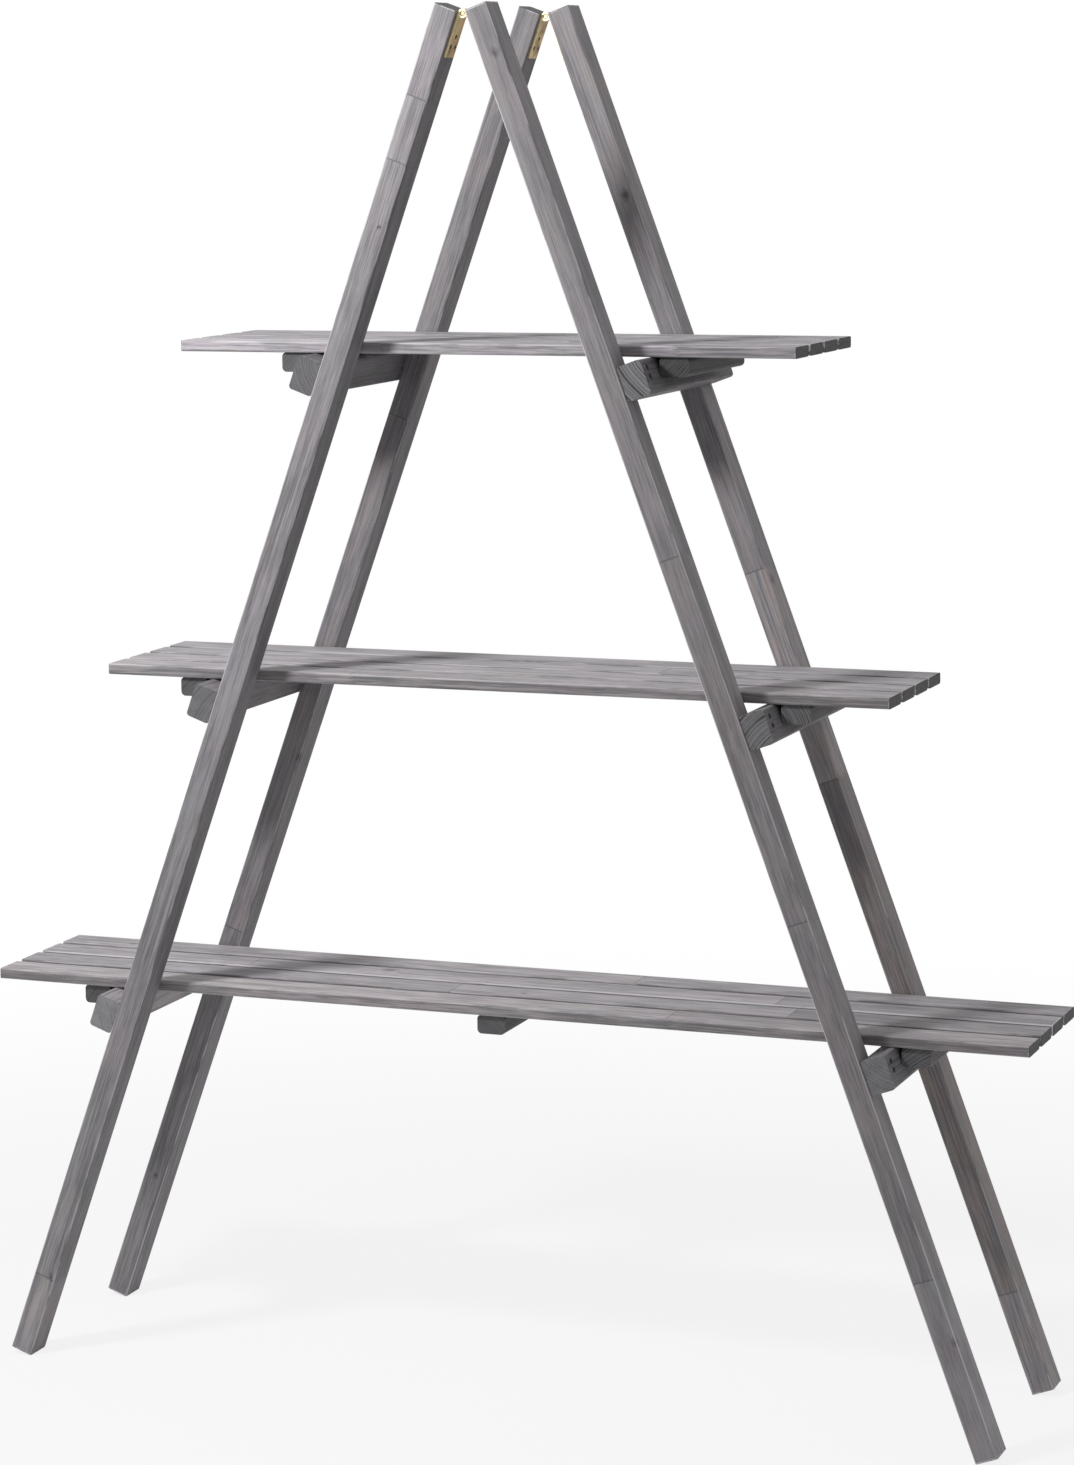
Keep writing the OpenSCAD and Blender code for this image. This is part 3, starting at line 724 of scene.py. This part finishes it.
def make_board(node, kind):
    """Replaces a CAD board with a merged copy whose ends are eased and whose grain runs along it."""
    wood = bpy.context.scene.plantstand_wood
    axes = Matrix(board_axes(node, kind)).to_4x4()
    bm = merged_copy(node)
    bmesh.ops.transform(bm, matrix=axes, verts=bm.verts)
    low, high = [Vector([pick(vert.co[i] for vert in bm.verts) for i in range(3)])
                 for pick in (min, max)]
    middle = (low + high) / 2
    half_size = (high - low) / 2
    bmesh.ops.translate(bm, vec=-middle, verts=bm.verts)
    bm.normal_update()
    ease_ends(bm, wood.sanded_ease if kind in SANDED else wood.sawn_ease, wood.ease_segments)
    bm.normal_update()
    write_coordinates(bm, half_size.x)
    bmesh.ops.translate(bm, vec=middle, verts=bm.verts)
    bmesh.ops.transform(bm, matrix=axes.transposed(), verts=bm.verts)
    bm.normal_update()
    for face in bm.faces:
        face.smooth = True
    for edge in bm.edges:
        edge.smooth = edge.calc_face_angle(0.0) < SHARP_ANGLE
    board = add_piece(bm, f"{node}_board")
    board.data.materials.append(wood_finish(node, kind, half_size))
    shading = board.modifiers.new("Weighted Normal", "WEIGHTED_NORMAL")
    shading.keep_sharp = True
    stand_for(board, node)


def merged_copy(node):
    """A CAD node's mesh with its doubled vertices merged and its flat faces made whole."""
    bm = bmesh.new()
    bm.from_mesh(frame["nodes"][node].data)
    bmesh.ops.remove_doubles(bm, verts=bm.verts, dist=MERGE_DISTANCE)
    bmesh.ops.dissolve_limit(bm, angle_limit=FLAT_ANGLE, verts=bm.verts, edges=bm.edges)
    return bm


def add_piece(bm, name):
    """Puts a finished mesh into the scene."""
    mesh = bpy.data.meshes.new(name)
    bm.to_mesh(mesh)
    bm.free()
    piece = bpy.data.objects.new(name, mesh)
    bpy.context.scene.collection.objects.link(piece)
    return piece


def stand_for(piece, node):
    """Lets a piece move with its node's body, in the place of the node."""
    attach(piece, BODY_OF[node])
    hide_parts(node)


# ---------------------------------------------------------------------------------------------
# Metal
# ---------------------------------------------------------------------------------------------

# Millimetres, unless said otherwise
DULL_RANGE = (0.35, 0.68)       # clouds that count as dulled
SCRATCHES = ((0.35, 0.35, 9.0), 2, 0.6)
SCRATCH_ROUGHNESS = 0.16
DULL_ROUGHNESS = 0.18
CLOUDS = (4, 0.6)               # detail and roughness
METAL_BUMP = 0.25
METAL_BUMP_HEIGHT = 0.05 * MM
CUT_EDGE = (0.5, 0.15)          # inside the end of a pin, over which the painted highlight sets in
CORE_EDGE = (-0.5, 0.3)         # from the core's radius, over which the bright middle fades
LEAF_SEGMENTS = 2


def metal_finish(name, bright, dull, roughness, patch, dullness, polish_and_highlight=None):
    """Metal with cloudy dull patches and fine scratches, on Object coordinates. A function for a bright
    mark, such as the painted highlight on the hinges' edges, given the place in millimetres, returns a
    mask and the colour that shows where the mask is 1."""
    material = bpy.data.materials.new(name)
    material.use_nodes = True
    w = Wiring(material.node_tree)
    shader = material.node_tree.nodes["Principled BSDF"]
    place = w.scaled(w.node("ShaderNodeTexCoord").outputs["Object"], 1 / MM)
    clouds = w.noise(place, (patch, patch, patch), *CLOUDS)[0]
    scratches = w.noise(place, *SCRATCHES)[0]
    dulled = w.math("MULTIPLY", w.ramp(clouds, *DULL_RANGE), dullness)
    colour = w.mix(dulled, opaque(bright), opaque(dull))
    rough = w.total(roughness, w.centred(scratches, SCRATCH_ROUGHNESS),
                    w.math("MULTIPLY", dulled, DULL_ROUGHNESS))
    if polish_and_highlight:
        mask, polish_and_highlight_colour = polish_and_highlight(w, place)
        colour = w.mix(mask, colour, opaque(polish_and_highlight_colour))
    w.feed(shader.inputs["Base Color"], colour)
    w.feed(shader.inputs["Roughness"], rough)
    bump = w.node("ShaderNodeBump", {
        "Strength": METAL_BUMP, "Distance": METAL_BUMP_HEIGHT, "Height": w.total(scratches, clouds)})
    w.feed(shader.inputs["Normal"], bump.outputs[0])
    shader.inputs["Metallic"].default_value = 1.0
    return material


def painted_edge_highlight(w, place):
    """Painted highlight: the front and back edges of the hinges' plates and barrels, painted bright."""
    low, high = [corner[1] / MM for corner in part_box("back_hinge_pin")]
    off_middle = w.math("ABSOLUTE", w.math("SUBTRACT", w.math("ABSOLUTE", w.split(place)[1]),
                                           (low + high) / 2))
    starts, ends = [(high - low) / 2 - inside for inside in CUT_EDGE]
    return w.ramp(off_middle, starts, ends), bpy.context.scene.plantstand_metal.bright_brass


def pin_ends(w, place):
    """A bright middle on each pin's end, inside a darker rim."""
    metal = bpy.context.scene.plantstand_metal
    low, high = [Vector(corner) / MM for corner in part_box("back_hinge_pin")]
    arm = w.vector("MULTIPLY", w.vector("SUBTRACT", place, (low + high) / 2), (1.0, 0.0, 1.0))
    starts, ends = [metal.pin_core / MM + beyond for beyond in CORE_EDGE]
    return w.ramp(w.vector("LENGTH", arm), starts, ends, 1.0, 0.0), metal.bright_brass


def make_leaf(node, material):
    """Replaces a hinge leaf with a merged copy whose pressed edges are rounded."""
    bm = merged_copy(node)
    for face in bm.faces:
        face.smooth = True
    leaf = add_piece(bm, f"{node}_plate")
    leaf.data.materials.append(material)
    edge = leaf.modifiers.new("Bevel", "BEVEL")
    edge.width = bpy.context.scene.plantstand_metal.leaf_ease
    edge.segments = LEAF_SEGMENTS
    edge.limit_method = "ANGLE"
    edge.angle_limit = SHARP_ANGLE
    edge.use_clamp_overlap = True
    leaf.modifiers.new("Weighted Normal", "WEIGHTED_NORMAL")
    stand_for(leaf, node)


def finish_node(node, material):
    """Gives a CAD node that stays in view its finish."""
    slots = frame["nodes"][node].data.materials
    slots.clear()
    slots.append(material)


# ---------------------------------------------------------------------------------------------
# Studio
# ---------------------------------------------------------------------------------------------

WHITE = (1.0, 1.0, 1.0)
FLOOR_CORNERS = 96
FLOOR_ROUGHNESS = 0.9
BOUNCE_FADE = (0.7, 2.6)        # metres from the stand over which the floor's bounce falls off
WHITE_FADE = (0.6, 2.4)         # metres from the stand over which the floor becomes white
WHITE_SHARE = (0.84, 1.0)       # how white it is at the start and at the end of that
KEY_TARGET = (0.0, 0.0, 0.8)
SENSOR_WIDTH = 36.0             # millimetres
FARTHEST = 200.0                # metres that the camera sees


def seen_directly(w):
    """1 for rays that show the background itself: from the camera, or by way of metal or glass."""
    rays = w.node("ShaderNodeLightPath").outputs
    seen = w.math("MAXIMUM", rays["Is Camera Ray"], rays["Is Glossy Ray"])
    return w.math("MAXIMUM", seen, rays["Is Transmission Ray"])


def light_room(strength):
    """An even grey room that shows white where it is seen itself."""
    world = bpy.data.worlds.new("studio")
    world.use_nodes = True
    w = Wiring(world.node_tree)
    background = world.node_tree.nodes["Background"]
    w.feed(background.inputs["Color"], w.grey(w.ramp(seen_directly(w), 0.0, 1.0, strength, 1.0)))
    background.inputs["Strength"].default_value = 1.0
    bpy.context.scene.world = world


def lay_floor(stage):
    """A round pale floor. Away from the stand it shows as white as the room."""
    bm = bmesh.new()
    bmesh.ops.create_circle(bm, cap_ends=True, segments=FLOOR_CORNERS, radius=stage.floor_radius)
    floor = add_piece(bm, "floor")
    material = bpy.data.materials.new("floor")
    material.use_nodes = True
    w = Wiring(material.node_tree)
    shader = material.node_tree.nodes["Principled BSDF"]
    seen = seen_directly(w)
    distance = w.vector("LENGTH", w.node("ShaderNodeTexCoord").outputs["Object"])
    near, far = opaque(stage.floor_bounce), opaque(stage.far_bounce)
    bounce = w.mix(w.ramp(distance, *BOUNCE_FADE), near, far)
    w.feed(shader.inputs["Base Color"], w.mix(seen, bounce, opaque(stage.floor)))
    shader.inputs["Roughness"].default_value = FLOOR_ROUGHNESS
    shader.inputs["Specular IOR Level"].default_value = 0.0
    whiteness = w.math("MULTIPLY", w.ramp(distance, *WHITE_FADE, *WHITE_SHARE), seen)
    white = w.node("ShaderNodeEmission", {"Color": opaque(WHITE)})
    both = w.node("ShaderNodeMixShader", {0: whiteness, 1: shader.outputs[0], 2: white.outputs[0]})
    w.feed(material.node_tree.nodes["Material Output"].inputs["Surface"], both.outputs[0])
    floor.data.materials.append(material)


def hang_key_light(stage):
    """One round lamp up in front on the left, which throws the shadows."""
    lamp = bpy.data.lights.new("key_light", "AREA")
    lamp.shape = "DISK"
    lamp.size = stage.key_size
    lamp.energy = stage.key_power
    light = bpy.data.objects.new("key_light", lamp)
    place = Vector(stage.key_place)
    light.location = place
    light.rotation_euler = (Vector(KEY_TARGET) - place).to_track_quat("-Z", "Y").to_euler()
    light.visible_camera = False
    bpy.context.scene.collection.objects.link(light)


def set_camera(stage):
    """The camera at the angle from which the stand was photographed."""
    yaw, pitch, roll = stage.camera_yaw, stage.camera_pitch, stage.camera_roll
    ahead = Vector((-math.sin(yaw) * math.cos(pitch), math.cos(yaw) * math.cos(pitch),
                    math.sin(pitch)))
    level = Vector((math.cos(yaw), math.sin(yaw), 0.0))
    upright = level.cross(ahead)
    right = math.cos(roll) * level + math.sin(roll) * upright
    up = math.cos(roll) * upright - math.sin(roll) * level
    lens = bpy.data.cameras.new("camera")
    lens.sensor_width = SENSOR_WIDTH
    lens.lens = stage.camera_lens
    lens.clip_end = FARTHEST
    camera = bpy.data.objects.new("camera", lens)
    turn = Matrix((right, up, -ahead)).transposed().to_4x4()
    camera.matrix_world = Matrix.Translation(stage.camera_place) @ turn
    bpy.context.scene.collection.objects.link(camera)
    bpy.context.scene.camera = camera


# ---------------------------------------------------------------------------------------------
# Operators
# ---------------------------------------------------------------------------------------------

class PLANTSTAND_OT_legs(bpy.types.Operator):
    """Make the four legs of stained wood"""

    bl_idname = "plantstand.legs"
    bl_label = "Legs"

    def execute(self, context):
        for node in BOARDS["leg"]:
            make_board(node, "leg")
        return {"FINISHED"}


class PLANTSTAND_OT_rungs(bpy.types.Operator):
    """Make the six rungs of stained wood"""

    bl_idname = "plantstand.rungs"
    bl_label = "Rungs"

    def execute(self, context):
        for node in BOARDS["rung"]:
            make_board(node, "rung")
        return {"FINISHED"}


class PLANTSTAND_OT_slats(bpy.types.Operator):
    """Make the slats of the three shelves"""

    bl_idname = "plantstand.slats"
    bl_label = "Slats"

    def execute(self, context):
        for node in BOARDS["slat"]:
            make_board(node, "slat")
        return {"FINISHED"}


class PLANTSTAND_OT_battens(bpy.types.Operator):
    """Make the battens under the shelves"""

    bl_idname = "plantstand.battens"
    bl_label = "Battens"

    def execute(self, context):
        for node in BOARDS["batten"]:
            make_board(node, "batten")
        return {"FINISHED"}


class PLANTSTAND_OT_hinges(bpy.types.Operator):
    """Make the leaves of the two hinges in brass and finish their pins"""

    bl_idname = "plantstand.hinges"
    bl_label = "Hinges"

    def execute(self, context):
        metal = context.scene.plantstand_metal
        # The leaves get a painted highlight on their front and back edges.
        leaf = metal_finish("hinge_brass", metal.brass, metal.tarnish,
                            roughness=0.34, patch=16.0, dullness=0.8, polish_and_highlight=painted_edge_highlight)
        pin = metal_finish("pin_brass", metal.tarnish, metal.screw_brass_and_shade,
                           roughness=0.26, patch=5.0, dullness=0.6, polish_and_highlight=pin_ends)
        for hinge in ("front", "back"):
            for side in SIDES:
                make_leaf(f"{hinge}_hinge_{side}_leaf", leaf)
            finish_node(f"{hinge}_hinge_pin", pin)
        return {"FINISHED"}


class PLANTSTAND_OT_screws(bpy.types.Operator):
    """Finish the screws of the hinges, rungs and shelves"""

    bl_idname = "plantstand.screws"
    bl_label = "Screws"

    def execute(self, context):
        metal = context.scene.plantstand_metal
        # The screws' dark colours are partly painted shade of their recesses.
        dark_brass = metal_finish("screw_brass_and_shade", metal.screw_brass_and_shade, metal.tarnish,
                                  roughness=0.38, patch=2.0, dullness=0.5)
        steel = metal_finish("screw_steel", metal.screw_steel, metal.dull_steel,
                             roughness=0.42, patch=2.0, dullness=0.6)
        for side in SIDES:
            finish_node(f"{side}_hinge_screws", dark_brass)
            finish_node(f"{side}_rung_screws", steel)
        for shelf in SHELVES:
            finish_node(f"{shelf}_shelf_screws", steel)
        return {"FINISHED"}


class PLANTSTAND_OT_stage(bpy.types.Operator):
    """Lay the floor, light the studio and set the camera"""

    bl_idname = "plantstand.stage"
    bl_label = "Stage"

    def execute(self, context):
        stage = context.scene.plantstand_stage
        context.scene.view_settings.view_transform = "Standard"
        lay_floor(stage)
        light_room(stage.room_light)
        hang_key_light(stage)
        set_camera(stage)
        return {"FINISHED"}


PIECE_OPERATORS = (
    PLANTSTAND_OT_legs, PLANTSTAND_OT_rungs, PLANTSTAND_OT_slats, PLANTSTAND_OT_battens,
    PLANTSTAND_OT_hinges, PLANTSTAND_OT_screws, PLANTSTAND_OT_stage,
)


class PLANTSTAND_PT_panel(bpy.types.Panel):
    """Lists the operators and the settings of the plant stand"""

    bl_idname = "PLANTSTAND_PT_panel"
    bl_label = "Plant Ladder Stand"
    bl_space_type = "VIEW_3D"
    bl_region_type = "UI"
    bl_category = "Plant Stand"

    def draw(self, context):
        layout = self.layout
        for operator in PIECE_OPERATORS:
            layout.operator(operator.bl_idname)
        for name in SETTINGS:
            box = layout.box()
            settings = getattr(context.scene, name)
            for field in settings.bl_rna.properties:
                if field.identifier not in ("rna_type", "name"):
                    box.prop(settings, field.identifier)


def register():
    for cls in (*SETTINGS.values(), *PIECE_OPERATORS, PLANTSTAND_PT_panel):
        bpy.utils.register_class(cls)
    for name, cls in SETTINGS.items():
        setattr(bpy.types.Scene, name, PointerProperty(type=cls))


def unregister():
    for name in SETTINGS:
        delattr(bpy.types.Scene, name)
    for cls in (PLANTSTAND_PT_panel, *reversed(PIECE_OPERATORS), *SETTINGS.values()):
        bpy.utils.unregister_class(cls)


def main():
    register()
    for operator in PIECE_OPERATORS:
        group, name = operator.bl_idname.split(".")
        getattr(getattr(bpy.ops, group), name)()


if __name__ == "__main__":
    main()
